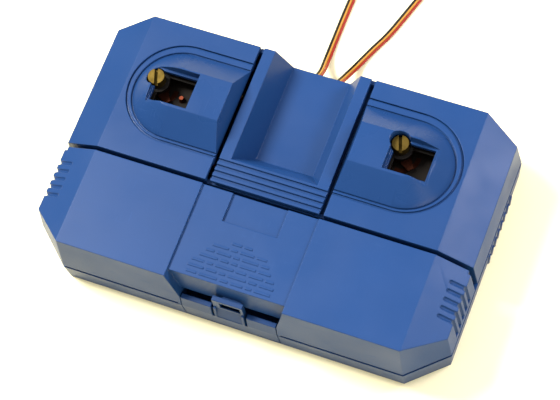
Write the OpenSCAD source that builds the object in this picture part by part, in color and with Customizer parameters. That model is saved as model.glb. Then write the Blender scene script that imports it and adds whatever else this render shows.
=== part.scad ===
// Battery-powered train set controller with two lever speed controls.
// The origin is on the underside, midway between the side walls: X to the
// right, Y to the back, Z up, in millimetres. The lid side is the front.

/* [Case] */
// Width over the outer edges of the shoulders
case_w = 210; // [209:1:214]
// Depth from front to back at the height of the shoulder edges
case_d = 129; // [129:1:132]
// Height of the flat top above the table
case_h = 43; // [43:0.5:45]
// Height of the tray wall, up to the split line
tray_h = 14.6; // [14:0.2:15.4]
// Thickness of the moulded walls
wall = 2.2; // [1.8:0.1:2.3]
// Width of the sloping shoulder on each side
shoulder_w = 17.6; // [16.6:0.2:17.8]
// Drop of the shoulder where it meets the side wall
shoulder_drop = 8.2; // [6:0.2:8.2]
// How far the upper walls lean in for each millimetre of height
lean = 0.09; // [0.05:0.01:0.09]
// How far the back corners are cut back
back_cut = 10; // [8:0.1:11]
// How far the front corners are cut back
front_cut = 16; // [14:0.2:17]
// Height of the open seam between tray and upper covers
seam = 0.6; // [0.4:0.1:0.8]
// Depth of the shadow line above the seam
line_depth = 0.9; // [0.6:0.1:1]

/* [Battery lid] */
// Depth from the front wall to the gap behind the lid
lid_d = 52.2; // [51.8:0.1:52.6]
// Width of the gap between lid and rear cover
gap_w = 2.2; // [1.6:0.2:2.4]
// Half width of the sunk middle panel
panel_half = 29.9; // [29.5:0.1:30.5]
// How far the middle panel lies below the top
panel_sink = 1.2; // [0.8:0.1:1.4]
// Grooves of each shoulder grip
grip_grooves = 5; // [3:1:6]
// Spacing of the grip grooves
grip_pitch = 4.4; // [4:0.1:4.6]

/* [Humps] */
// Distance of the hump's round end from the middle
hump_x = 59.1; // [58.9:0.1:59.3]
// Depth position of the humps
hump_y = 28; // [27.7:0.1:28.3]
// Height of each hump above the flat top
hump_h = 9.8; // [9.2:0.1:10.6]
// Radius of the hump at its foot
foot_r = 23; // [22.9:0.1:23.2]
// Radius of the hump's flat top
top_r = 10.5; // [10.2:0.1:10.5]
// Radius of the flange round the hump
flange_r = 26.6; // [26.4:0.1:26.8]
// Distance of the straight inner end from the middle
inner_x = 30.4; // [30.2:0.1:30.8]
// Width of the lever opening
open_w = 22.2; // [21.8:0.1:22.4]
// Depth of the lever opening
open_d = 19.2; // [18.8:0.1:19.3]
// Radius of the round lobe that clears the lever spindle
lobe_r = 5; // [4.8:0.1:5.1]

/* [Centre console] */
// Half width of the console at the top
rim_half = 28; // [27.6:0.1:28.2]
// Half width of the trough at the top
trough_half = 22.3; // [22:0.1:22.6]
// Half width of the trough floor
floor_half = 15; // [14.6:0.1:15.4]
// Depth of the trough
trough_depth = 15.9; // [15:0.1:16]
// Grooves in front of the trough
strip_grooves = 4; // [3:1:4]

/* [Speed controls] */
// Diameter of the slotted spindle head
head_d = 8.2; // [7.8:0.1:8.4]
// Diameter of the spindle journal in the bush
journal_d = 6; // [5.8:0.1:6.2]
// Diameter of the spindle tail in the contact board
tail_d = 4; // [3.8:0.1:4.2]
// Radial running clearance of the spindle
run_gap = 0.05; // [0.03:0.01:0.08]
// Radius at which the wiper sweeps the contact tracks
wiper_r = 8.5; // [8.2:0.1:8.8]
// Direction of the wiper at rest, from the X axis
wiper_rest = -45; // [-47:1:-43]
// Sweep of the lever to each side of the rest position
sweep = 45; // [30:1:45]

/* [Batteries] */
// Diameter of a D cell
cell_d = 34.2; // [33.2:0.1:34.2]
// Length of a D cell over its cap
cell_len = 61.5; // [59.5:0.5:61.5]

/* [Cables] */
// Diameter of one insulated core
core_d = 1.3; // [1.2:0.05:1.35]

/* [Hidden] */

$fn = 64;
eps = 0.01;
fit = 0.25;                                  // clearance between mouldings

half_w = case_w / 2;
crease_x = half_w - shoulder_w;              // where flat top meets shoulder
edge_z = case_h - shoulder_drop;             // height of the shoulder's outer edge
back_y = case_d / 2 + 0.8;
front_y = -case_d / 2 + 0.8;
foot_out = 0.7;                              // how far the tray's foot stands out from the edge above
gap_y = front_y + lid_d;
lid_back = gap_y - gap_w / 2;
cover_front = gap_y + gap_w / 2;
seam_z = tray_h + seam;

open_y = hump_y - 0.7;                       // the opening sits forward of the flange's middle
open_x = hump_x + 2.3;
ledge = 1.3;                                 // step inside the lever opening
collar_z = case_h + hump_h - 7;              // underside of the collar round the opening
hump_mid = hump_y - 1;                       // the hump sits forward of its flange's middle

board_z = 33.4;
board_t = 1.6;
housing_z = board_z + board_t;
housing_top = case_h - 0.1;
housing_r = 19;
ear_y = 19;
head_z = housing_top + 0.3;
head_top = case_h + hump_h - 4.2;
tail_z = 37;

ledge_z = case_h - wall - 0.1;               // seat under the hump flange
channel_z = case_h - 4.5;
trough_z = case_h - trough_depth;
tub_z = trough_z - wall;
ramp_front = cover_front + 13.7;
ramp_back = ramp_front + 9.6;
console_bosses = [20, 40];

cell_z = wall + 0.4 + cell_d / 2;
cell_y = -38;
spring_len = 6;
plate_t = 0.5;
stack_len = 3 * cell_len + spring_len;
stack_left = -stack_len / 2;
stack_right = stack_len / 2;
lead_x = 85;                                 // where the battery leads cross the divider

case_bosses = [[-94, 44], [94, 44], [-94, -4], [94, -4]];
boss_r = 3.6;
screw_d = 3;
pilot_d = 2.6;

panel_mid = -0.9;                            // the sunk panel sits a little left of the middle
latch_mid = -0.3;
latch_half = 24.5;
latch_gap = 0.5;
latch_h = 23.2;
latch_back = front_y + 1.4;                  // inner face of the latch plate
latch_axis = [front_y + 2.6, 4.6];           // Y and Z of the pivot pins
latch_pin = 2.4;
tab_half = 7.8;
tab_h = 32.4;
tab_y = front_y - 0.2;                       // outer face of the tab
tab_t = 2.5;
slot_z = 24.8;
slot_h = 5.6;
slot_x = [-4.2, 6.4];
bead_z = slot_z + slot_h - 2;
face_in = 4.25;                              // how far the lid's middle face lies behind its front wall
lid_lip_z = 25.6;

clamp_x = [-9.3, 16.5];
clamp_y = 56;
exit_x = [-3.9, 7.4];
exit_z = 17.6 + core_d / 2;

blue = [0.25, 0.41, 0.68];
pale_blue = [0.33, 0.49, 0.75];
bakelite = [0.16, 0.10, 0.07];
brass = [0.72, 0.60, 0.28];
copper = [0.74, 0.42, 0.27];
steel = [0.66, 0.67, 0.69];
black = [0.08, 0.08, 0.09];
red = [0.76, 0.13, 0.11];
yellow = [0.90, 0.77, 0.16];

// Spindle axis from the middle of the lever opening; it differs a little from side to side.
function lobe_at(side) = side < 0 ? [-10.8, 4.1] : [-7.7, 6.9];

// ---------- outline of the case ----------

function shoulder_z(x) = case_h - shoulder_drop * (x - crease_x) / shoulder_w;

// How far the walls stand out at height z from where they are at the shoulder edge.
function out(z) = z < tray_h ? foot_out + (out(tray_h) - foot_out) * z / tray_h : lean * (edge_z - z);

// Outer side of a wall in its own plane: leaning in above the split line, moved in by inset.
module wall_profile(inset) {
    polygon([
        [-2 * case_w, -1], [foot_out - inset, -1], [foot_out - inset, 0],
        [out(tray_h) - inset, tray_h], [out(case_h) - inset, case_h],
        [out(case_h) - inset, case_h + 1], [-2 * case_w, case_h + 1]
    ]);
}

// Everything inside a wall that passes through a point and faces outwards at an angle.
module inside_wall(at, facing, inset) {
    translate(at) rotate([0, 0, facing]) rotate([90, 0, 0])
        linear_extrude(4 * case_w, center = true) wall_profile(inset);
}

// Cross-section with the side walls and the sloping shoulders, moved in by inset.
module section(inset) {
    hx = half_w - inset;
    cx = crease_x - 0.22 * inset;
    top = edge_z - 1.1 * inset;
    tray_x = half_w + out(tray_h) - inset;
    foot_x = half_w + foot_out - inset;
    polygon([
        [-foot_x, -1], [foot_x, -1], [foot_x, 0], [tray_x, tray_h], [hx, top], [cx, case_h - inset],
        [-cx, case_h - inset], [-hx, top], [-tray_x, tray_h], [-foot_x, 0]
    ]);
}

// The two cut-back corners of one side.
module corners(side, inset) {
    intersection() {
        inside_wall([side * half_w, back_y - back_cut, 0], 90 - side * atan(back_cut / shoulder_w), inset);
        inside_wall([side * half_w, front_y + front_cut, 0],
            -90 + side * atan(front_cut / shoulder_w), inset);
    }
}

// Solid inside the case surface, moved in by inset, from height z0 up.
module case_solid(inset, z0) {
    intersection() {
        rotate([90, 0, 0]) linear_extrude(2 * case_d, center = true) section(inset);
        inside_wall([0, back_y, 0], 90, inset);
        inside_wall([0, front_y, 0], -90, inset);
        corners(1, inset);
        corners(-1, inset);
        translate([-case_w, -case_d, z0]) cube([2 * case_w, 2 * case_d, case_h]);
    }
}

// Upper case solid, stepped in just above the seam so that a shadow line shows.
module upper_solid() {
    line_h = 1.1;
    case_solid(0, seam_z + line_h);
    intersection() {
        case_solid(line_depth, seam_z);
        slab(-case_d, case_d, 0, seam_z + line_h + eps);
    }
}

// Block over the full width between two depths and two heights.
module slab(y0, y1, z0, z1) {
    translate([-case_w, y0, z0]) cube([2 * case_w, y1 - y0, z1 - z0]);
}

// Block given by two opposite corners.
module block(a, b) {
    translate(a) cube(b - a);
}

// Screw whose head sits at z = 0 and whose shank points up.
module screw(d, head, head_h, len) {
    difference() {
        union() {
            translate([0, 0, -head_h]) cylinder(d = head, h = head_h);
            cylinder(d = d, h = len);
        }
        translate([0, 0, -head_h - eps]) {
            block([-head * 0.32, -0.3, 0], [head * 0.32, 0.3, head_h * 0.5]);
            block([-0.3, -head * 0.32, 0], [0.3, head * 0.32, head_h * 0.5]);
        }
    }
}

// ---------- tray ----------

module tray_boss(at, top) {
    translate([at[0], at[1], wall - eps]) cylinder(r = boss_r, h = top - wall);
}

module base_tray() {
    divider_z = 20;
    color(blue)
    difference() {
        union() {
            difference() {
                intersection() {
                    case_solid(0, 0);
                    slab(-case_d, case_d, 0, tray_h);
                }
                case_solid(wall, wall);
            }
            tray_lip();
            // Wall between the battery bay and the speed controls
            block([-half_w + wall + 0.8, cover_front, wall - eps],
                  [half_w - wall - 0.8, cover_front + wall, divider_z]);
            battery_cradle();
            for (b = case_bosses) tray_boss(b, tray_h - 1);
            for (y = console_bosses) tray_boss([0, y], tray_h);
            // Saddle under the cables, with a screw boss at each end
            block([-12, clamp_y - 2.5, wall - eps], [19.2, clamp_y + 2.5, exit_z - core_d / 2]);
            latch_lugs();
            side_ribs();
        }
        for (b = concat(case_bosses, [for (y = console_bosses) [0, y]]))
            translate([b[0], b[1], -eps]) {
                cylinder(d = screw_d + 0.4, h = case_h);
                cylinder(d = 6.6, h = 5 + 2 * eps);
            }
        for (x = clamp_x) translate([x, clamp_y, 6]) cylinder(d = 1.8, h = 20);
        latch_opening();
        // Notches where the battery leads cross the divider
        for (x = [-lead_x, lead_x])
            block([x - 1.5, cover_front - 1, 12], [x + 1.5, cover_front + wall + 1, 30]);
    }
}

// Raised edge that keeps the upper covers in line with the tray.
module tray_lip() {
    difference() {
        intersection() {
            case_solid(wall + fit, wall);
            slab(-case_d, case_d, wall, tray_h + 2.4);
        }
        case_solid(wall + fit + 1.2, wall - 1);
        // Left clear for the lid front, the hinge line and the shoulder corners
        slab(-case_d, front_y + front_cut + 4, 0, case_h);
        slab(lid_back - wall - 1, cover_front + wall + 1, 0, case_h);
    }
    // Root that joins the lip to the wall
    difference() {
        intersection() {
            case_solid(wall - eps, wall);
            slab(-case_d, case_d, wall, tray_h - 1);
        }
        case_solid(wall + fit + 1.2, wall - 1);
        slab(-case_d, front_y + front_cut + 4, 0, case_h);
    }
}

// Saddles that carry the cells and end walls that hold the contact plates.
module battery_cradle() {
    difference() {
        union() {
            for (x = [-77, -47, -15.5, 15.5, 47, 77])
                block([x - 0.9, cell_y - 14, wall - eps], [x + 0.9, cell_y + 14, 8]);
            for (side = [-1, 1])
                translate([side * (stack_right + plate_t + 0.05), 0, 0])
                    mirror([side < 0 ? 1 : 0, 0, 0])
                        block([0, cell_y - 13, wall - eps], [1.6, cell_y + 13, 26]);
        }
        translate([-stack_right, cell_y, cell_z])
            rotate([0, 90, 0]) cylinder(d = cell_d + 0.2, h = stack_len, $fn = 96);
        // Slots through which the plate tags reach the leads
        for (side = [-1, 1])
            block([side * 97 - 4, cell_y - 2.6, 9.6], [side * 97 + 4, cell_y + 2.6, 14.4]);
    }
}

// Opening in the front wall in which the latch stands.
module latch_opening() {
    half = latch_half + latch_gap;
    translate([latch_mid, 0, 0]) {
        block([-half, front_y - 4, 0.9], [half, front_y + 2.2, case_h]);
        block([-half, front_y, wall], [half, front_y + 4.2, case_h]);
    }
}

module latch_lugs() {
    translate([latch_mid, 0, 0])
        both_sides()
            difference() {
                block([latch_half + latch_gap, front_y + 0.4, wall - eps], [latch_half + 3.9, front_y + 6.4, 9]);
                translate([latch_half - 1, latch_axis[0], latch_axis[1]])
                    rotate([0, 90, 0]) cylinder(d = latch_pin + 2 * run_gap, h = 5);
            }
}

// Upright finger ribs that follow the tray's side walls.
module side_ribs() {
    both_sides()
        for (i = [0 : 7])
            translate([half_w + foot_out - 0.2, 7.3 + 4.6 * i, 0.6])
                rotate([0, atan((out(tray_h) - foot_out) / tray_h), 0])
                    cylinder(r = 1.1, h = 9.5, $fn = 24);
}

// ---------- upper covers ----------

// Outline of a hump insert, round end outwards, for the right-hand side.
module insert_plan(r, inner) {
    translate([hump_x, hump_y]) circle(r, $fn = 128);
    translate([inner, hump_y - r]) square([hump_x - inner, 2 * r]);
}

module insert_solid(r, inner, z0, z1) {
    translate([0, 0, z0]) linear_extrude(z1 - z0) insert_plan(r, inner);
}

module both_sides() {
    children();
    mirror([1, 0, 0]) children();
}

module rear_cover() {
    color(blue)
    difference() {
        union() {
            difference() {
                intersection() {
                    upper_solid();
                    slab(cover_front, case_d, 0, case_h + 1);
                }
                case_solid(wall, -1);
            }
            intersection() {
                case_solid(wall - eps, 0);
                union() {
                    // Front skirt that closes the control bay
                    slab(cover_front, cover_front + wall, 20 + seam, case_h);
                    both_sides() insert_solid(flange_r + wall, inner_x, ledge_z - wall, case_h);
                    for (b = case_bosses)
                        translate([b[0], b[1], tray_h - 0.8]) cylinder(r = boss_r, h = case_h);
                }
            }
        }
        both_sides() {
            insert_solid(flange_r + fit, inner_x - 5, ledge_z, case_h + 1);
            insert_solid(flange_r - wall, inner_x - 5, 0.5 * case_h, case_h + 1);
        }
        // Channel for the console
        block([-inner_x, cover_front - 1, channel_z - fit], [inner_x, case_d, case_h + 1]);
        block([-inner_x, cover_front + wall, tub_z - 2], [inner_x, case_d, case_h + 1]);
        for (b = case_bosses) translate([b[0], b[1], 0]) cylinder(d = pilot_d, h = 30);
        // Cable outlet
        block([-8, back_y - 4, seam_z - 1], [16, back_y + 4, exit_z + core_d / 2 + 0.8]);
    }
}

// Space of the trough: it narrows downwards and its front end is a ramp.
module tub(half_top, half_floor, y_top, y_floor, z_floor, z_top) {
    intersection() {
        rotate([90, 0, 0])
            linear_extrude(2 * case_d, center = true)
                polygon([
                    [-half_floor, z_floor], [half_floor, z_floor],
                    [half_top, z_top], [-half_top, z_top]
                ]);
        rotate([90, 0, 90])
            linear_extrude(2 * case_w, center = true)
                polygon([
                    [y_top, z_top], [y_floor, z_floor],
                    [case_d, z_floor], [case_d, z_top]
                ]);
    }
}

module centre_console() {
    groove_pitch = 3.15;
    groove_floor = case_h - 8;
    flange_x = inner_x - fit;
    color(pale_blue)
    difference() {
        intersection() {
            case_solid(0, 0);
            union() {
                block([-rim_half, cover_front + 0.1, case_h - wall], [rim_half, case_d, case_h]);
                tub(trough_half + 1.9, floor_half + 1.9, ramp_front - 1.9, ramp_back - 1.9, tub_z, case_h);
                both_sides() {
                    block([rim_half - 1.8, cover_front + wall + fit, groove_floor],
                        [rim_half, case_d, case_h]);
                    // Floor of the side groove
                    block([rim_half - 1, cover_front + wall + fit, groove_floor],
                          [flange_x, case_d, groove_floor + 1.4]);
                }
                // End panel that completes the back wall of the case
                block([-flange_x, back_y - wall - 0.6, tub_z - 1.7], [flange_x, case_d, case_h - 2]);
                for (y = console_bosses)
                    translate([0, y, tray_h + 0.1]) cylinder(r = boss_r, h = tub_z - tray_h);
            }
        }
        translate([0, 1, 0])
            tub(trough_half, floor_half, ramp_front - 1, ramp_back - 1, trough_z, case_h);
        mouth();
        // Ribbed strip
        for (i = [0 : strip_grooves - 1])
            translate([0, cover_front + 2.3 + groove_pitch * i, 0])
                block([-rim_half - 1, -0.7, case_h - 1.1], [rim_half + 1, 0.7, case_h + 1]);
        for (y = console_bosses) translate([0, y, 0]) cylinder(d = pilot_d, h = tub_z);
    }
}

// Lets the trough run out through its open back end and its top.
module mouth() {
    scale_up = 1 + 1 / trough_depth;
    top_half = floor_half + (trough_half - floor_half) * scale_up;
    front = ramp_back - (ramp_back - ramp_front) * scale_up;
    translate([0, 1, 0]) tub(top_half, floor_half, front - 1, ramp_back - 1, trough_z, case_h + 1);
}

// Solid of one hump, for the right-hand side.
module hump(foot, top, h) {
    translate([hump_x, hump_mid, 0]) cylinder(h = h, r1 = foot, r2 = top, $fn = 128);
    translate([0, hump_mid, 0])
        rotate([90, 0, 90])
            linear_extrude(hump_x) polygon([[-foot, 0], [foot, 0], [top, h], [-top, h]]);
}

// Space beyond the sloping inner end of a hump.
module beyond_end(x_foot, lean, h) {
    translate([0, 2 * case_d, 0])
        rotate([90, 0, 0])
            linear_extrude(4 * case_d)
                polygon([[-5, -1], [x_foot - lean / h, -1], [x_foot + lean * 1.2, 1.2 * h], [-5, 1.2 * h]]);
}

// Lever opening with its round lobe, about the opening's middle.
module opening(side, grow, depth, lobe) {
    linear_extrude(depth) {
        square([open_w + 2 * grow, open_d + 2 * grow], center = true);
        if (lobe > 0) translate(lobe_at(side)) circle(lobe);
    }
}

// Places a control's parts, side is -1 for left and 1 for right.
module at_control(side) {
    translate([side * open_x, open_y, 0]) children();
}

module at_spindle(side) {
    at_control(side) translate([lobe_at(side)[0], lobe_at(side)[1], 0]) children();
}

module on_side(side) {
    mirror([side < 0 ? 1 : 0, 0, 0]) children();
}

// Outline of the hump's foot, for the right-hand side.
module foot_plan(r) {
    translate([0, hump_mid - hump_y]) insert_plan(r, inner_x - 1);
}

module hump_cover(side) {
    slope = (foot_r - top_r) / hump_h;
    skin = wall - 0.4;
    skin_x = skin * sqrt(1 + slope * slope) * 0.87;
    end_lean = 2.9;
    inner_h = hump_h - skin;
    line_w = 0.9;                            // width and depth of the lines round flange and foot
    color(blue)
    difference() {
        union() {
            on_side(side)
                difference() {
                    union() {
                        insert_solid(flange_r, inner_x, case_h - wall, case_h - line_w);
                        insert_solid(flange_r - line_w, inner_x, case_h - wall, case_h);
                        translate([0, 0, case_h])
                            difference() {
                                hump(foot_r, top_r, hump_h);
                                beyond_end(inner_x, end_lean, hump_h);
                            }
                    }
                    translate([0, 0, case_h - wall - eps])
                        linear_extrude(wall + 2 * eps)
                            translate([0, hump_mid - hump_y]) insert_plan(foot_r - skin_x, inner_x + skin);
                    translate([0, 0, case_h])
                        difference() {
                            hump(foot_r - skin_x, foot_r - skin_x - slope * inner_h, inner_h);
                            beyond_end(inner_x + skin, end_lean, hump_h);
                        }
                    // Line sunk round the foot of the hump
                    translate([0, 0, case_h - line_w])
                        linear_extrude(hump_h)
                            difference() {
                                foot_plan(foot_r + line_w);
                                foot_plan(foot_r + 0.05);
                            }
                }
            // Collar round the opening, and bosses for the control screws
            intersection() {
                union() {
                    at_control(side) translate([0, 0, collar_z]) opening(side, 1.8, hump_h, lobe_r + 1.6);
                    at_control(side)
                        for (y = [-ear_y, ear_y])
                            translate([0, y, housing_z + 2]) cylinder(r = 2.6, h = case_h - housing_z);
                }
                union() {
                    on_side(side) translate([0, 0, case_h]) hump(foot_r, top_r, hump_h);
                    translate([-case_w, -case_d, 0]) cube([2 * case_w, 2 * case_d, case_h - line_w]);
                }
            }
        }
        at_control(side) translate([0, 0, collar_z + 2]) opening(side, 0, case_h, lobe_r);
        at_control(side) translate([0, 0, collar_z - 2]) opening(side, -ledge, case_h, lobe_r);
        at_control(side)
            for (y = [-ear_y, ear_y])
                translate([0, y, housing_z + 1]) cylinder(d = 1.8, h = 6);
    }
}

module left_hump_cover() { hump_cover(-1); }
module right_hump_cover() { hump_cover(1); }

// ---------- battery lid and latch ----------

module battery_lid() {
    color(pale_blue)
    difference() {
        union() {
            difference() {
                intersection() {
                    upper_solid();
                    slab(-case_d, lid_back, 0, case_h + 1);
                }
                case_solid(wall, -1);
                sunk_panel();
            }
            // Middle panel and its leaning front face
            difference() {
                intersection() {
                    inside_wall([0, front_y, 0], -90, face_in);
                    translate([panel_mid, 0, 0])
                        block([-panel_half - wall, -case_d, lid_lip_z],
                              [panel_half + wall, lid_back, case_h - panel_sink]);
                }
                intersection() {
                    inside_wall([0, front_y, 0], -90, face_in + wall);
                    slab(-case_d, case_d, 0, case_h - panel_sink - wall);
                }
            }
            // Back skirt and the walls of the recess
            intersection() {
                case_solid(eps, 0);
                union() {
                    block([-half_w, lid_back - wall, 33], [half_w, lid_back, case_h - panel_sink - 0.1]);
                    recess_walls();
                }
            }
            text_bars();
            catch_bead();
        }
        // Finger recess that runs out into the gap
        block([-15, gap_y - 16.2, case_h - panel_sink - 1.2], [13.3, gap_y, case_h + 1]);
        // The side walls stop a little short of the gap
        both_sides() block([half_w - 1.4, lid_back - 1.8, 0], [half_w + 4, lid_back + 1, case_h]);
        for (side = [-1, 1]) shoulder_grip(side);
    }
}

// Outline of the recess seen from the front: it narrows downwards to the latch plate.
module recess_outline(grow, top) {
    panel_x = panel_half + grow;
    latch_x = latch_half + latch_gap + grow;
    shift = latch_mid - panel_mid;
    polygon([
        [shift - latch_x, 0], [shift + latch_x, 0], [shift + latch_x, latch_h + 0.4],
        [panel_x, case_h - panel_sink], [panel_x, top], [-panel_x, top],
        [-panel_x, case_h - panel_sink], [shift - latch_x, latch_h + 0.4]
    ]);
}

// Space above the middle panel and in front of its face.
module sunk_panel() {
    translate([panel_mid, front_y + face_in + wall, 0]) {
        rotate([90, 0, 0]) linear_extrude(20) recess_outline(0, case_h + 1);
        block([-panel_half, -eps, case_h - panel_sink - wall - eps], [panel_half, case_d, case_h + 1]);
    }
}

// Side walls of the recess in front of the middle panel.
module recess_walls() {
    depth = face_in + wall + 4;
    translate([panel_mid, front_y + face_in + wall, 0])
        rotate([90, 0, 0])
            linear_extrude(depth)
                difference() {
                    recess_outline(1.6, case_h - panel_sink);
                    recess_outline(0, case_h);
                    translate([-case_w / 2, -1]) square([case_w, seam_z + 1]);
                }
}

function total(list, n) = n < 1 ? 0 : list[n - 1] + total(list, n - 1);

// Plain raised bars in rows on the middle panel.
module text_bars() {
    rows = [
        [5, 4], [8, 3, 7, 5], [4, 7, 3, 8, 4], [9, 4, 3, 8, 6], [6, 3, 9, 5, 7, 4],
        [8, 5, 3, 9, 4, 7], [5, 9, 4, 6, 3, 8]
    ];
    row_pitch = 3.2;
    space = 1.5;
    for (r = [0 : len(rows) - 1]) {
        row_len = total(rows[r], len(rows[r])) + space * (len(rows[r]) - 1);
        for (i = [0 : len(rows[r]) - 1])
            translate([
                panel_mid - row_len / 2 + total(rows[r], i) + space * i,
                gap_y - 26.2 - row_pitch * r,
                case_h - panel_sink - eps
            ])
                cube([rows[r][i], 1, 0.3]);
    }
}

// Bead that snaps into the latch slot.
module catch_bead() {
    face = front_y - out(bead_z) + face_in;
    block([slot_x[0] + 0.5, face - 2.5, bead_z], [slot_x[1] - 0.5, face + 0.5, bead_z + 1.5]);
}

module shoulder_grip(side) {
    start_x = crease_x + 10.6;
    on_side(side)
        for (i = [0 : grip_grooves - 1])
            translate([0, gap_y - 18.8 + grip_pitch * ((grip_grooves - 1) / 2 - i), 0]) {
                // Across the outer part of the shoulder
                translate([start_x, 0, shoulder_z(start_x) + 0.1])
                    rotate([0, 90 + atan(shoulder_drop / shoulder_w), 0]) {
                        sphere(r = 1);
                        cylinder(r = 1, h = shoulder_w);
                    }
                // Down the leaning side wall
                translate([half_w, 0, edge_z])
                    rotate([0, -atan(lean), 0])
                        translate([0.1, 0, -16]) cylinder(r = 1.3, h = 22);
            }
}

// Front latch: a pivoting plate with a raised tab that hooks the lid.
module lid_latch() {
    color(blue)
    difference() {
        union() {
            translate([latch_mid, 0, 0]) {
                // Plate that follows the front wall
                translate([-latch_half, 0, 0])
                    rotate([90, 0, 90])
                        linear_extrude(2 * latch_half)
                            polygon([
                                [front_y - out(1.6), 1.6], [front_y - out(tray_h), tray_h],
                                [front_y - out(latch_h), latch_h], [latch_back, latch_h], [latch_back, 1.6]
                            ]);
                translate([-latch_half - 2.8, latch_axis[0], latch_axis[1]])
                    rotate([0, 90, 0]) cylinder(d = latch_pin, h = 2 * latch_half + 5.6);
                // Rib behind the plate, between the pivot pins
                block([-latch_half, latch_back - eps, latch_axis[1] - 1.2],
                      [latch_half, latch_axis[0] + 1.2, latch_axis[1] + 1.2]);
            }
            block([-tab_half, tab_y, latch_h - 4], [tab_half, tab_y + tab_t, tab_h]);
        }
        // Slot for the lid's bead; its floor falls away inwards
        translate([slot_x[0], 0, 0])
            rotate([90, 0, 90])
                linear_extrude(slot_x[1] - slot_x[0])
                    polygon([
                        [front_y - 4, slot_z], [tab_y + 0.6, slot_z], [tab_y + tab_t + 1, slot_z - 7],
                        [tab_y + tab_t + 1, slot_z + slot_h], [front_y - 4, slot_z + slot_h]
                    ]);
        // Sloping finger face below the slot
        translate([-tab_half + 1.2, 0, 0])
            rotate([90, 0, 90])
                linear_extrude(2 * tab_half - 2.4)
                    polygon([
                        [front_y - 4, 14], [front_y - out(14) + 0.2, 14], [tab_y + 0.9, 22.6],
                        [tab_y + 0.9, 23.4], [front_y - 4, 23.4]
                    ]);
        // Cuts beside the tab
        for (side = [-1, 1])
            block([side * (tab_half + 0.7) - 0.7, front_y - 4, 13.5],
                [side * (tab_half + 0.7) + 0.7, front_y + 5, 40]);
    }
}

// ---------- speed controls ----------

module housing_plan(inset) {
    intersection() {
        translate([1.5, 0.8]) circle(housing_r - inset, $fn = 96);
        translate([-1.5, 0.8]) circle(housing_r - inset, $fn = 96);
        square([40, 27 - 2 * inset], center = true);
    }
}

module ears(h) {
    linear_extrude(h) {
        for (y = [-ear_y, ear_y]) translate([0, y]) circle(r = 2.6);
        square([5.2, 2 * ear_y], center = true);
    }
}

module ear_holes(z, d) {
    for (y = [-ear_y, ear_y]) translate([0, y, z]) cylinder(d = d, h = 10);
}

module control_housing(side) {
    color(bakelite)
    at_control(side)
    difference() {
        union() {
            translate([0, 0, housing_z]) linear_extrude(housing_top - housing_z) housing_plan(0);
            translate([0, 0, housing_z]) ears(2);
        }
        translate([0, 0, housing_z - 1]) linear_extrude(housing_top - housing_z - 0.8) housing_plan(1.4);
        // Window under the lever opening, closed in the corner that holds the bush
        difference() {
            translate([0, 0, housing_z - 1]) opening(side, -ledge - 0.7, case_h, 0);
            translate([lobe_at(side)[0], lobe_at(side)[1], housing_z - 2]) cylinder(r = 6, h = case_h + 5);
        }
        translate([lobe_at(side)[0], lobe_at(side)[1], housing_z - 1]) cylinder(d = 8.6, h = 20);
        ear_holes(housing_z - 1, 2.2);
    }
}

module bush(side) {
    color(bakelite)
    at_spindle(side)
    difference() {
        union() {
            translate([0, 0, housing_top - 4]) cylinder(d = 8.6, h = 4);
            translate([0, 0, housing_top - 4]) cylinder(d = 9.6, h = 2.1);
        }
        translate([0, 0, housing_top - 5]) cylinder(d = journal_d + 2 * run_gap, h = 8);
    }
}

module contact_board(side) {
    color([0.30, 0.18, 0.10])
    at_control(side)
    difference() {
        translate([0, 0, board_z])
            union() {
                linear_extrude(board_t) housing_plan(0);
                ears(board_t);
            }
        translate([lobe_at(side)[0], lobe_at(side)[1], board_z - 1])
            cylinder(d = tail_d + 2 * run_gap, h = 5);
        ear_holes(board_z - 1, 2.2);
        translate([post_at(side)[0], post_at(side)[1], board_z - 1]) cylinder(d = 1.6, h = 5);
    }
}

// Feed posts stand at different places on the two boards.
function post_at(side) = side < 0 ? [2.1, 1.2] : [10.5, 6.5];

module arc_strip(r0, r1, a0, a1, h) {
    rotate([0, 0, a0]) rotate_extrude(angle = a1 - a0, $fn = 96) translate([r0, 0]) square([r1 - r0, h]);
}

// Common ring and the two curved tracks under the wiper.
module contact_tracks(side) {
    color(copper)
    at_spindle(side)
    translate([0, 0, housing_z]) {
        arc_strip(3.7, 4.9, 0, 360, 0.2);
        for (turn = [-1, 1]) {
            near = wiper_rest + turn * 9;
            far = wiper_rest + turn * (sweep + 6);
            arc_strip(wiper_r - 1.2, wiper_r + 1.2, min(near, far), max(near, far), 0.2);
        }
    }
}

module spindle(side) {
    slot_dir = 109;
    color(brass)
    at_spindle(side)
    difference() {
        union() {
            translate([0, 0, head_z]) cylinder(d = head_d, h = head_top - head_z);
            translate([0, 0, tail_z + 0.6]) cylinder(d = journal_d, h = head_z - tail_z);
            translate([0, 0, board_z - 2.6]) cylinder(d = tail_d, h = tail_z - board_z + 4);
        }
        translate([0, 0, head_top - 2.4])
            rotate([0, 0, slot_dir])
                block([-head_d, -0.8, 0], [head_d, 0.8, 5]);
        // Groove for the retaining clip
        translate([0, 0, board_z - 1.4])
            difference() {
                cylinder(d = tail_d + 2, h = 0.7);
                translate([0, 0, -1]) cylinder(d = tail_d - 0.9, h = 3);
            }
    }
}

module wiper(side) {
    color(copper)
    at_spindle(side)
    rotate([0, 0, wiper_rest])
    difference() {
        union() {
            translate([0, 0, tail_z]) cylinder(r = 4.2, h = 0.5);
            translate([0, 0, tail_z])
                linear_extrude(0.5)
                    polygon([[2, -3.4], [wiper_r + 1.6, -1.5], [wiper_r + 1.6, 1.5], [2, 3.4]]);
            // Feet that rest on the common ring and on the tracks
            for (r = [4.3, wiper_r])
                translate([r, 0, housing_z + 0.25])
                    cylinder(r1 = 0.45, r2 = 0.8, h = tail_z - housing_z - 0.2);
        }
        translate([0, 0, tail_z - 1]) cylinder(d = tail_d, h = 3);
    }
}

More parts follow.
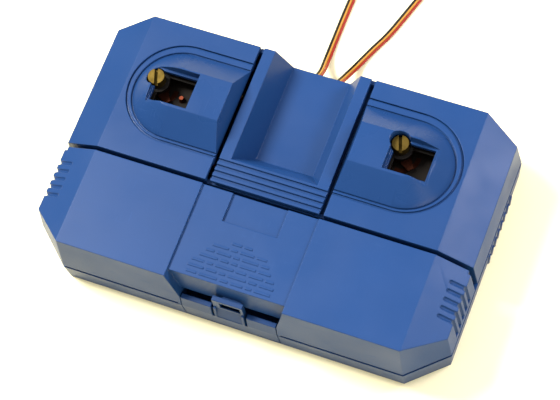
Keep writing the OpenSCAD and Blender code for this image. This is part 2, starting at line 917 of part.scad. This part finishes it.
module spacer(side) {
    color(bakelite)
    at_spindle(side)
    translate([0, 0, housing_z + 0.03])
    difference() {
        cylinder(r = 3.4, h = tail_z - housing_z - 0.06);
        translate([0, 0, -1]) cylinder(d = tail_d + 0.02, h = 5);
    }
}

module retaining_clip(side) {
    color(steel)
    at_spindle(side)
    translate([0, 0, board_z - 1.35])
    difference() {
        cylinder(r = 3.4, h = 0.6);
        translate([0, 0, -1]) cylinder(d = tail_d - 0.9, h = 3);
        block([-1.2, -5, -1], [1.2, 0, 2]);
    }
}

module left_control_housing() { control_housing(-1); }
module right_control_housing() { control_housing(1); }
module left_bush() { bush(-1); }
module right_bush() { bush(1); }
module left_spindle() { spindle(-1); }
module right_spindle() { spindle(1); }
module left_wiper() { wiper(-1); }
module right_wiper() { wiper(1); }
module left_spacer() { spacer(-1); }
module right_spacer() { spacer(1); }
module left_retaining_clip() { retaining_clip(-1); }
module right_retaining_clip() { retaining_clip(1); }
module left_contact_board() { contact_board(-1); }
module right_contact_board() { contact_board(1); }
module left_contact_tracks() { contact_tracks(-1); }
module right_contact_tracks() { contact_tracks(1); }

// Riveted posts that bring the supply up to each board.
module feed_posts() {
    color(copper)
    for (side = [-1, 1])
        at_control(side)
            translate([post_at(side)[0], post_at(side)[1], 0]) {
                translate([0, 0, board_z - 1.2]) cylinder(d = 1.6, h = board_t + 2);
                translate([0, 0, housing_z]) cylinder(d1 = 3.4, d2 = 2.2, h = 3);
                translate([0, 0, board_z - 1.2]) cylinder(d = 3, h = 1.2);
            }
}

// ---------- fasteners and cable clamp ----------

module control_screws() {
    color(steel)
    for (side = [-1, 1])
        at_control(side)
            for (y = [-ear_y, ear_y])
                translate([0, y, board_z]) screw(1.8, 3.8, 1.3, 7.6);
}

module case_screws() {
    color(steel) {
        for (b = case_bosses) translate([b[0], b[1], 5]) screw(pilot_d, 5.8, 2.2, 18);
        for (y = console_bosses) translate([0, y, 5]) screw(pilot_d, 5.8, 2.2, 18);
    }
}

module cable_clamp() {
    color(black)
    difference() {
        block([-12, clamp_y - 2.2, exit_z + core_d / 2 + 0.1],
            [19.2, clamp_y + 2.2, exit_z + core_d / 2 + 2.4]);
        for (x = clamp_x) translate([x, clamp_y, 10]) cylinder(d = 2.2, h = 20);
    }
}

module clamp_screws() {
    color(steel)
    for (x = clamp_x)
        translate([x, clamp_y, exit_z + core_d / 2 + 2.4]) mirror([0, 0, 1]) screw(1.8, 3.8, 1.3, 9);
}

// ---------- batteries and their contacts ----------

module battery(index) {
    cap = 1.5;
    lip = 0.7;
    rim = 2;
    color([0.20, 0.20, 0.22])
    translate([stack_left + spring_len + cell_len * index, cell_y, cell_z])
        rotate([0, 90, 0])
            rotate_extrude($fn = 96)
                polygon([
                    [0, 0], [cell_d / 2 - rim, 0], [cell_d / 2 - rim + lip, 0.3], [cell_d / 2 - 0.4, 0.3],
                    [cell_d / 2, 0.9], [cell_d / 2, cell_len - cap - 1.4],
                    [cell_d / 2 - 0.6, cell_len - cap - 0.6],
                    [cell_d / 2 - rim, cell_len - cap - 0.6], [cell_d / 2 - rim - 1, cell_len - cap - 1.2],
                    [5, cell_len - cap - 1.2], [4.8, cell_len - 0.3], [4.5, cell_len], [0, cell_len]
                ]);
}

module left_battery() { battery(0); }
module middle_battery() { battery(1); }
module right_battery() { battery(2); }

function unit(v) = v / norm(v);

// Round rod along a path, closed at both ends; the path never runs along the axis given.
module rod(path, d, sides = 8, axis = [0, 0.001, 1]) {
    n = len(path);
    rings = [
        for (i = [0 : n - 1])
            let (
                along = unit(path[min(i + 1, n - 1)] - path[max(i - 1, 0)]),
                side = unit(cross(along, axis)),
                up = cross(side, along)
            )
            for (k = [0 : sides - 1])
                path[i] + d / 2 * (cos(360 * k / sides) * side + sin(360 * k / sides) * up)
    ];
    walls = [
        for (i = [0 : n - 2], k = [0 : sides - 1])
            let (next = (k + 1) % sides)
            [i * sides + k, i * sides + next, (i + 1) * sides + next, (i + 1) * sides + k]
    ];
    first = [for (k = [sides - 1 : -1 : 0]) k];
    last = [for (k = [0 : sides - 1]) (n - 1) * sides + k];
    polyhedron(points = rings, faces = concat([first], walls, [last]));
}

// Smooth curve through the points of a route.
function curve(a, b, c, d, t) =
    0.5 * (2 * b + (c - a) * t + (2 * a - 5 * b + 4 * c - d) * t * t + (3 * b - a - 3 * c + d) * t * t * t);

function smooth(p, steps) = [
    for (i = [0 : len(p) - 2], s = [0 : steps - 1])
        curve(p[max(i - 1, 0)], p[i], p[i + 1], p[min(i + 2, len(p) - 1)], s / steps),
    p[len(p) - 1]
];

// Shifts a path sideways, level with the ground.
function beside(path, shift) = [
    for (i = [0 : len(path) - 1])
        let (along = path[min(i + 1, len(path) - 1)] - path[max(i - 1, 0)])
        path[i] + shift * unit(cross(along, [0, 0, 1]))
];

// Tapered coil on the negative plate, pressed short by the cells.
module negative_spring() {
    turns = 4;
    wire_d = 1;
    steps = 18;
    plate_x = stack_left + wire_d / 2;
    color(steel)
    rod([
        for (i = [0 : turns * steps])
            let (f = i / (turns * steps), r = 8.5 - 4.5 * f)
            [plate_x + (spring_len - wire_d - 0.05) * f, cell_y + r * cos(360 * i / steps),
                cell_z + r * sin(360 * i / steps)]
    ], wire_d, 8, [1, 0, 0]);
}

module plate(side) {
    color(steel)
    translate([side * (stack_right + plate_t / 2 + 0.02), cell_y, 0]) {
        translate([-plate_t / 2, -11, 5]) cube([plate_t, 22, 19]);
        translate([side < 0 ? -4.6 : -plate_t / 2, -2.2, 10]) cube([4.6 + plate_t / 2, 4.4, 0.5]);
    }
}

module negative_plate() { plate(-1); }
module positive_plate() { plate(1); }

// ---------- wires ----------

left_route = [
    [-61, 39, 32.4], [-50, 44.5, 27], [-33, 45.5, 20.2], [-15, 45.5, exit_z + 0.4], [-5.5, 48, exit_z],
    [exit_x[0], 54, exit_z], [exit_x[0], 60, exit_z], [-4.3, 68.5, 17.2], [-5.4, 77, 9], [-7, 87, 2.4],
    [-7.4, 98, 0.9], [-7.4, 110, 0.9], [-7.2, 124, 0.9], [-6.8, 136, 0.9]
];
right_route = [
    [61, 39, 32.4], [50, 44.5, 27], [38, 46, 20.8], [24, 46.5, exit_z + 0.4], [13, 48.5, exit_z],
    [exit_x[1], 54, exit_z], [exit_x[1], 60, exit_z], [7, 68.5, 17.2], [7, 77, 9], [9, 88, 2.4],
    [13, 99, 0.9], [18, 110, 0.9], [22, 122, 0.9], [27, 138, 0.9]
];

module core(route, index) {
    rod(beside(smooth(route, 4), (index - 1) * core_d), core_d - 0.02, 8);
}

module left_black_core() { color(black) core(left_route, 0); }
module left_yellow_core() { color(yellow) core(left_route, 1); }
module left_red_core() { color(red) core(left_route, 2); }
module right_black_core() { color(black) core(right_route, 0); }
module right_yellow_core() { color(yellow) core(right_route, 1); }
module right_red_core() { color(red) core(right_route, 2); }

module positive_lead() {
    color(red)
    rod(smooth([
        [stack_right + 3.4, cell_y, 9.1], [stack_right + 4, -30, 7], [stack_right + 2.6, -20, 8],
        [lead_x + 2, -15.6, 11.6], [lead_x, cover_front + 1, 14], [lead_x - 2, -2, 16], [78, 10, 22],
        [72.9, 26, 29], [open_x + post_at(1)[0], open_y + post_at(1)[1], 31.4]
    ], 4), 1.4, 8);
}

module negative_lead() {
    color(black)
    rod(smooth([
        [stack_left - 3.4, cell_y, 9.1], [stack_left - 4, -30, 7], [stack_left - 2.6, -20, 8],
        [-lead_x - 2, -15.6, 11.6], [-lead_x, cover_front + 1, 14], [-lead_x + 2, -2, 16], [-80, 8, 24],
        [-76, 14, 29.4], [-71, 20, 31.6]
    ], 4), 1.4, 8);
}

module positive_link() {
    color(red)
    rod(smooth([
        [open_x + post_at(1)[0] - 2, open_y + post_at(1)[1] + 1, 31.2], [58, 20, 27], [38, 8, 17],
        [15, 5, 14.6], [-15, 5, 14.6], [-38, 8, 17],
        [-52, 20, 26], [-open_x + post_at(-1)[0], open_y + post_at(-1)[1], 31.4]
    ], 4), 1.4, 8);
}

module negative_link() {
    color(black)
    rod(smooth([
        [-70, 22, 31.4], [-56, 14, 26], [-38, 3, 16], [-15, -0.5, 12], [15, -0.5, 12], [38, 3, 16],
        [52, 14, 26], [56, 21, 31.4]
    ], 4), 1.4, 8);
}

base_tray();
rear_cover();
centre_console();
left_hump_cover();
right_hump_cover();
battery_lid();
lid_latch();
left_control_housing();
right_control_housing();
left_bush();
right_bush();
left_spindle();
right_spindle();
left_wiper();
right_wiper();
left_spacer();
right_spacer();
left_retaining_clip();
right_retaining_clip();
left_contact_board();
right_contact_board();
left_contact_tracks();
right_contact_tracks();
feed_posts();
control_screws();
case_screws();
cable_clamp();
clamp_screws();
left_black_core();
left_yellow_core();
left_red_core();
right_black_core();
right_yellow_core();
right_red_core();
left_battery();
middle_battery();
right_battery();
negative_spring();
negative_plate();
positive_plate();
positive_lead();
negative_lead();
positive_link();
negative_link();
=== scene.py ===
import math

import bpy
from mathutils import Matrix, Vector


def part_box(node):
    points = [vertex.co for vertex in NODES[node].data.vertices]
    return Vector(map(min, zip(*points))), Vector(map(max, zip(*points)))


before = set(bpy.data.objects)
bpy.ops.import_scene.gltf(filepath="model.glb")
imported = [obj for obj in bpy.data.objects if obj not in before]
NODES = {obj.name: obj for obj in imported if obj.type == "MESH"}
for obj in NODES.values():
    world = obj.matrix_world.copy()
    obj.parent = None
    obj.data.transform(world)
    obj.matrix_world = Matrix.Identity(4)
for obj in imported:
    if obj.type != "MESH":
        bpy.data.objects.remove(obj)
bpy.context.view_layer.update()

MM = 0.001


# ---------- small helpers for node materials ----------

class Graph:
    """One material and the few calls that wire its nodes."""

    def __init__(self, name):
        self.material = bpy.data.materials.new(name)
        self.material.use_nodes = True
        self.tree = self.material.node_tree
        self.shader = self.tree.nodes["Principled BSDF"]
        self.coords = self.tree.nodes.new("ShaderNodeTexCoord").outputs["Object"]

    def add(self, kind, **inputs):
        node = self.tree.nodes.new(kind)
        for name, value in inputs.items():
            self.feed(value, node.inputs[name.replace("_", " ")])
        return node

    def feed(self, value, socket):
        """Links an output to a socket, or sets the socket's value."""
        if isinstance(value, bpy.types.NodeSocket):
            self.tree.links.new(value, socket)
        else:
            socket.default_value = value

    def set(self, name, value):
        self.feed(value, self.shader.inputs[name])

    def stretched(self, sx, sy, sz):
        node = self.add("ShaderNodeMapping", Vector=self.coords, Scale=(sx, sy, sz))
        return node.outputs[0]

    def noise(self, scale, detail=2.0, rough=0.5, coords=None):
        node = self.add("ShaderNodeTexNoise", Vector=coords or self.coords, Scale=scale, Detail=detail,
                        Roughness=rough)
        return node.outputs["Fac"]

    def voronoi(self, scale):
        return self.add("ShaderNodeTexVoronoi", Vector=self.coords, Scale=scale).outputs["Distance"]

    def fit(self, value, low, high, new_low=0.0, new_high=1.0):
        """Maps low..high to new_low..new_high, clamped."""
        node = self.add("ShaderNodeMapRange", Value=value, From_Min=low, From_Max=high, To_Min=new_low,
                        To_Max=new_high)
        return node.outputs[0]

    def maths(self, operation, a, b=0.0):
        node = self.tree.nodes.new("ShaderNodeMath")
        node.operation = operation
        self.feed(a, node.inputs[0])
        self.feed(b, node.inputs[1])
        return node.outputs[0]

    def mix(self, factor, a, b):
        node = self.tree.nodes.new("ShaderNodeMix")
        node.data_type = "RGBA"
        self.feed(factor, node.inputs[0])
        self.feed(a, node.inputs[6])
        self.feed(b, node.inputs[7])
        return node.outputs[2]

    def bump(self, height, distance, normal=None, strength=1.0):
        node = self.add("ShaderNodeBump", Height=height, Distance=distance, Strength=strength)
        if normal is not None:
            self.tree.links.new(normal, node.inputs["Normal"])
        return node.outputs[0]

    def soft_edges(self, radius):
        """Normal that rolls over the edges within radius, and a mask that is 1 on those edges."""
        bevel = self.add("ShaderNodeBevel", Radius=radius)
        bevel.samples = 4
        geometry = self.tree.nodes.new("ShaderNodeNewGeometry")
        dot = self.tree.nodes.new("ShaderNodeVectorMath")
        dot.operation = "DOT_PRODUCT"
        self.tree.links.new(bevel.outputs[0], dot.inputs[0])
        self.tree.links.new(geometry.outputs["Normal"], dot.inputs[1])
        return bevel.outputs[0], self.fit(dot.outputs["Value"], 0.995, 0.85)


def rgb(r, g, b):
    """Linear colour from 0-255 sRGB values, as a colour socket takes it."""
    def linear(v):
        v /= 255
        return v / 12.92 if v <= 0.04045 else ((v + 0.055) / 1.055) ** 2.4
    return (linear(r), linear(g), linear(b), 1.0)


def scaled(colour, k):
    return tuple(min(1.0, c * k) for c in colour[:3]) + (1.0,)


# ---------- materials ----------

def moulded_plastic(name, colour, roughness=0.34, edge=0.5, scuff=0.35):
    """Injection-moulded shell: faint flow clouds, fine grain, scuffs, worn edges and a little dust."""
    g = Graph(name)
    normal, edges = g.soft_edges(0.7 * MM)
    clouds = g.noise(14.0, 3.0)
    shade = g.mix(g.fit(clouds, 0.3, 0.7), scaled(colour, 0.93), scaled(colour, 1.07))
    scratches = g.noise(1.0, 3.0, 0.6, g.stretched(90, 1500, 400))
    cross = g.noise(1.0, 3.0, 0.6, g.stretched(1300, 110, 400))
    marks = g.maths("MULTIPLY", g.fit(g.maths("MAXIMUM", scratches, cross), 0.62, 0.74), scuff)
    shade = g.mix(g.maths("MULTIPLY", marks, 0.25), shade, scaled(colour, 1.7))
    worn = g.maths("MULTIPLY", edges, g.fit(g.noise(160.0, 3.0), 0.35, 0.7, 0.2, 1.0))
    shade = g.mix(g.maths("MULTIPLY", worn, edge * 0.5), shade, scaled(colour, 1.9))
    g.set("Base Color", shade)
    grain = g.noise(1400.0, 2.0)
    patchy = g.fit(g.noise(40.0, 2.0), 0.3, 0.7, roughness - 0.05, roughness + 0.07)
    g.set("Roughness", g.maths("ADD", patchy, g.maths("MULTIPLY", marks, 0.2)))
    g.set("Specular IOR Level", 0.15)
    normal = g.bump(grain, 0.02 * MM, normal, 0.35)
    normal = g.bump(g.noise(70.0, 2.0), 0.10 * MM, normal, 0.12)
    g.set("Normal", normal)
    return g.material


def phenolic(name, colour, roughness=0.45):
    """Dark brown moulding with pale filler flecks."""
    g = Graph(name)
    normal, edges = g.soft_edges(0.3 * MM)
    flecks = g.fit(g.voronoi(900.0), 0.05, 0.22, 1.0, 0.0)
    shade = g.mix(g.maths("MULTIPLY", flecks, 0.3), colour, scaled(colour, 2.2))
    shade = g.mix(g.fit(g.noise(60.0, 3.0), 0.35, 0.7, 0.0, 0.4), shade, scaled(colour, 0.6))
    g.set("Base Color", g.mix(g.maths("MULTIPLY", edges, 0.4), shade, scaled(colour, 1.8)))
    g.set("Specular IOR Level", 0.15)
    g.set("Roughness", g.fit(g.noise(120.0), 0.3, 0.7, roughness - 0.08, roughness + 0.1))
    g.set("Normal", g.bump(g.noise(800.0, 3.0), 0.02 * MM, normal, 0.4))
    return g.material


def board_sheet(name):
    """Paper-phenolic sheet: fine layered fibres running one way, its colour darkened to near black as
    painted shade for the inside of the openings.
    """
    g = Graph(name)
    # Near-black base: painted shade for the board deep inside the openings, darker than the sheet's own
    # colour.
    base = rgb(18, 12, 7)
    fibres = g.noise(1.0, 4.0, 0.6, g.stretched(250, 2600, 900))
    shade = g.mix(g.fit(fibres, 0.3, 0.7), scaled(base, 0.7), scaled(base, 1.25))
    g.set("Base Color", shade)
    g.set("Specular IOR Level", 0.12)
    g.set("Roughness", g.fit(g.noise(90.0), 0.3, 0.7, 0.5, 0.65))
    g.set("Normal", g.bump(fibres, 0.02 * MM, None, 0.3))
    return g.material


def metal(name, colour, roughness=0.3, tarnish=0.4, turned=True):
    """Bare metal: tool marks, tarnish in patches and brighter rubbed edges."""
    g = Graph(name)
    normal, edges = g.soft_edges(0.25 * MM)
    stain = g.fit(g.noise(220.0, 4.0, 0.6), 0.4, 0.7, 0.0, tarnish)
    shade = g.mix(stain, colour, scaled(colour, 0.45))
    g.set("Base Color", g.mix(g.maths("MULTIPLY", edges, 0.6), shade, scaled(colour, 1.25)))
    g.set("Metallic", 1.0)
    g.set("Roughness", g.fit(stain, 0.0, max(tarnish, 0.01), roughness, roughness + 0.22))
    lines = g.noise(1.0, 2.0, 0.5, g.stretched(300, 300, 6000) if turned else g.stretched(200, 4000, 4000))
    g.set("Normal", g.bump(lines, 0.01 * MM, normal, 0.35))
    return g.material


def insulation(name, colour):
    """Extruded PVC: satin skin with slight waviness and handling marks."""
    g = Graph(name)
    grey = g.fit(g.noise(300.0, 3.0), 0.45, 0.75, 0.0, 0.35)
    shade = g.mix(grey, colour, scaled(colour, 0.65))
    g.set("Base Color", g.mix(g.fit(g.noise(60.0, 2.0), 0.4, 0.8, 0.0, 0.2), shade, scaled(colour, 1.5)))
    g.set("Specular IOR Level", 0.25)
    g.set("Roughness", g.fit(g.noise(200.0), 0.3, 0.7, 0.4, 0.56))
    g.set("Normal", g.bump(g.noise(500.0, 2.0), 0.04 * MM, None, 0.3))
    return g.material


def cell_jacket(name, node):
    """Printed jacket of one cell: dark body, one pale band near the cap end, bare metal ends."""
    low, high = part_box(node)
    length = high.x - low.x
    g = Graph(name)
    split = g.tree.nodes.new("ShaderNodeSeparateXYZ")
    g.tree.links.new(g.coords, split.inputs[0])
    along = g.fit(split.outputs["X"], low.x, high.x)
    band = g.maths("MULTIPLY", g.fit(along, 0.735, 0.74), g.fit(along, 0.925, 0.93, 1.0, 0.0))
    stripe = g.maths("MULTIPLY", g.fit(along, 0.70, 0.705), g.fit(along, 0.715, 0.72, 1.0, 0.0))
    ends = g.maths("ADD", g.fit(along, 1.4 * MM / length, 1.0 * MM / length),
                   g.fit(along, 1 - 3.0 * MM / length, 1 - 2.6 * MM / length))
    ink = g.mix(g.maths("ADD", band, stripe), rgb(38, 40, 46), rgb(196, 150, 62))
    ink = g.mix(g.fit(g.noise(900.0, 2.0), 0.55, 0.8, 0.0, 0.2), ink, rgb(150, 150, 150))
    g.set("Base Color", g.mix(ends, ink, rgb(185, 186, 188)))
    g.set("Metallic", g.maths("MAXIMUM", ends, 0.25))
    g.set("Roughness", g.fit(g.noise(150.0, 3.0), 0.3, 0.7, 0.22, 0.38))
    g.set("Normal", g.bump(g.noise(60.0, 2.0), 0.05 * MM, None, 0.2))
    return g.material


def floor_sheet():
    """Plain pale yellow floor that strong light turns white."""
    g = Graph("floor_paper")
    tone = g.fit(g.noise(6.0, 2.0), 0.3, 0.7)
    g.set("Base Color", g.mix(tone, FLOOR_DEEP, FLOOR_PALE))
    g.set("Roughness", 0.6)
    g.set("Normal", g.bump(g.noise(900.0, 2.0), 0.02 * MM, None, 0.1))
    return g.material


FLOOR_DEEP = (0.93, 0.83, 0.50, 1.0)
FLOOR_PALE = (0.96, 0.88, 0.57, 1.0)
CASE_BLUE = (0.0083, 0.036, 0.121, 1.0)
PVC_BLACK = rgb(7, 7, 6)
PVC_RED = rgb(128, 22, 8)
PVC_YELLOW = rgb(164, 116, 40)
STEEL = ["control_screws", "case_screws", "clamp_screws", "negative_spring", "negative_plate",
         "positive_plate"]


def both(*names):
    """The left and right node of each name."""
    return [f"{side}_{name}" for name in names for side in ("left", "right")]


def dress():
    """Gives every CAD node its material."""
    looks = [
        (moulded_plastic("blue_upper_case", CASE_BLUE), ["rear_cover", "centre_console"]),
        (moulded_plastic("blue_humps", CASE_BLUE, 0.30), both("hump_cover")),
        (moulded_plastic("blue_lid", scaled(CASE_BLUE, 1.05), 0.36, 0.6, 0.55), ["battery_lid"]),
        (moulded_plastic("blue_tray", scaled(CASE_BLUE, 0.95), 0.36), ["base_tray", "lid_latch"]),
        # Brown phenolic colour, darkened to near black as painted shade for the parts seen down inside the
        # openings.
        (phenolic("brown_phenolic", rgb(12, 8, 5)), both("control_housing", "bush", "spacer")),
        (board_sheet("paper_phenolic_darkened_for_shade"), both("contact_board")),
        # Brass colour darkened well below bare brass as painted shade for the spindle heads that sit low
        # in the humps' openings.
        (metal("turned_brass", rgb(88, 72, 32), 0.45, 0.6), both("spindle")),
        # Copper colour darkened well below bare copper as painted shade inside the openings; the tarnish
        # patches laid on top are real tarnish.
        (metal("copper_darkened_for_shade", rgb(52, 26, 17), 0.5, 0.5, False), both("wiper", "contact_tracks")),
        (metal("copper_post", rgb(104, 52, 36), 0.36, 0.5, False), ["feed_posts"]),
        (metal("plated_steel", rgb(190, 192, 196), 0.28, 0.2, False), both("retaining_clip") + STEEL),
        (moulded_plastic("black_clamp", rgb(30, 30, 32), 0.45), ["cable_clamp"]),
        (insulation("black_pvc", PVC_BLACK), both("black_core") + ["negative_lead", "negative_link"]),
        (insulation("yellow_pvc", PVC_YELLOW), both("yellow_core")),
        (insulation("red_pvc", PVC_RED), both("red_core") + ["positive_lead", "positive_link"]),
    ]
    for cell in ("left_battery", "middle_battery", "right_battery"):
        looks.append((cell_jacket(f"{cell}_jacket", cell), [cell]))
    for material, names in looks:
        for name in names:
            paint(NODES[name], material)


def paint(obj, material):
    obj.data.materials.clear()
    obj.data.materials.append(material)


# ---------- rounded edges ----------

def round_edges(name, width, merge=0.002, angle=38):
    """Rounds the moulded edges of a CAD node with modifiers; its own mesh stays as it is."""
    obj = NODES[name]
    weld = obj.modifiers.new("weld", "WELD")
    weld.merge_threshold = merge * MM
    bevel = obj.modifiers.new("round", "BEVEL")
    bevel.width = width * MM
    bevel.segments = 2
    bevel.limit_method = "ANGLE"
    bevel.angle_limit = math.radians(angle)
    bevel.use_clamp_overlap = True
    bevel.harden_normals = True
    bevel.miter_outer = "MITER_ARC"


# Edge radius in mm and, where they aren't the usual ones, the weld distance in mm and the smallest
# angle rounded in degrees.
# The humps' long creases turn 38 degrees, and a 0.05 mm ledge at their foot is welded away.
HUMP_EDGES = (0.35, 0.08, 30)
ROUNDED = {
    "base_tray": (0.5,), "rear_cover": (0.5,), "battery_lid": (0.5,), "centre_console": (0.35,),
    "left_hump_cover": HUMP_EDGES, "right_hump_cover": HUMP_EDGES, "lid_latch": (0.3,),
}


# ---------- floor, light and camera ----------

def stand():
    """The floor the object stands on."""
    bpy.ops.mesh.primitive_plane_add(size=8)
    floor = bpy.context.object
    floor.name = "floor"
    paint(floor, floor_sheet())


def area_light(name, place, target, size, watts, colour):
    data = bpy.data.lights.new(name, "AREA")
    data.shape = "DISK"
    data.size = size
    data.energy = watts
    data.color = colour
    light = bpy.data.objects.new(name, data)
    bpy.context.scene.collection.objects.link(light)
    light.location = place
    light.rotation_euler = (Vector(target) - Vector(place)).to_track_quat("-Z", "Y").to_euler()


# Place, what it points at, size, power in watts and colour. The key stands on the left, the fill low at
# the front right, and the sheen grazes the rear cover's right shoulder.
LAMPS = {
    "key": ((-0.74, 0.1, 1.05), (0, 0, 0), 0.45, 33, (1.0, 0.985, 0.95)),
    "sheen": ((0.37, 0.215, 0.43), (0.095, 0.035, 0.04), 0.15, 2.3, (0.9, 0.88, 1.0)),
    "fill": ((1.1, -0.75, 0.5), (0, 0, 0.02), 0.8, 7, (1.0, 0.88, 0.66)),
}


def light_scene():
    """Even surround light with three lamps, shown without tone mapping."""
    world = bpy.data.worlds.new("soft_studio")
    bpy.context.scene.world = world
    world.use_nodes = True
    tree = world.node_tree
    background = tree.nodes["Background"]
    background.inputs["Color"].default_value = (0.98, 0.985, 1.0, 1.0)
    # Bright overhead, dim near the horizon
    direction = tree.nodes.new("ShaderNodeTexCoord").outputs["Generated"]
    split = tree.nodes.new("ShaderNodeSeparateXYZ")
    tree.links.new(direction, split.inputs[0])
    ramp = tree.nodes.new("ShaderNodeMapRange")
    tree.links.new(split.outputs["Z"], ramp.inputs["Value"])
    for name, number in (("From Min", 0.1), ("From Max", 1.0), ("To Min", 0.5), ("To Max", 1.15)):
        ramp.inputs[name].default_value = number
    tree.links.new(ramp.outputs[0], background.inputs["Strength"])
    for name, lamp in LAMPS.items():
        area_light(name, *lamp)
    view = bpy.context.scene.view_settings
    view.view_transform = "Standard"
    view.look = "None"


def camera():
    """Long-lens view from the front right, well above, tipped so that the case runs down to the right."""
    azimuth = math.radians(34.4)
    elevation = math.radians(65.9)
    tilt = math.radians(-14.9)
    distance = 977 * MM
    gap_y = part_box("rear_cover")[0].y
    target = Vector((7.9 * MM, gap_y + 1.0 * MM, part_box("battery_lid")[1].z))
    back = Vector((math.sin(azimuth) * math.cos(elevation), -math.cos(azimuth) * math.cos(elevation),
                   math.sin(elevation)))
    right = Vector((math.cos(azimuth), math.sin(azimuth), 0))
    up = back.cross(right)
    turned_right = right * math.cos(tilt) + up * math.sin(tilt)
    turned_up = up * math.cos(tilt) - right * math.sin(tilt)
    data = bpy.data.cameras.new("camera")
    data.lens = 131.8
    data.sensor_width = 36
    data.clip_start = 0.01
    data.clip_end = 20
    cam = bpy.data.objects.new("camera", data)
    bpy.context.scene.collection.objects.link(cam)
    axes = Matrix((turned_right, turned_up, back)).transposed()
    cam.matrix_world = Matrix.Translation(target + back * distance) @ axes.to_4x4()
    bpy.context.scene.camera = cam


dress()
for node_name, edge in ROUNDED.items():
    round_edges(node_name, *edge)
stand()
light_scene()
camera()
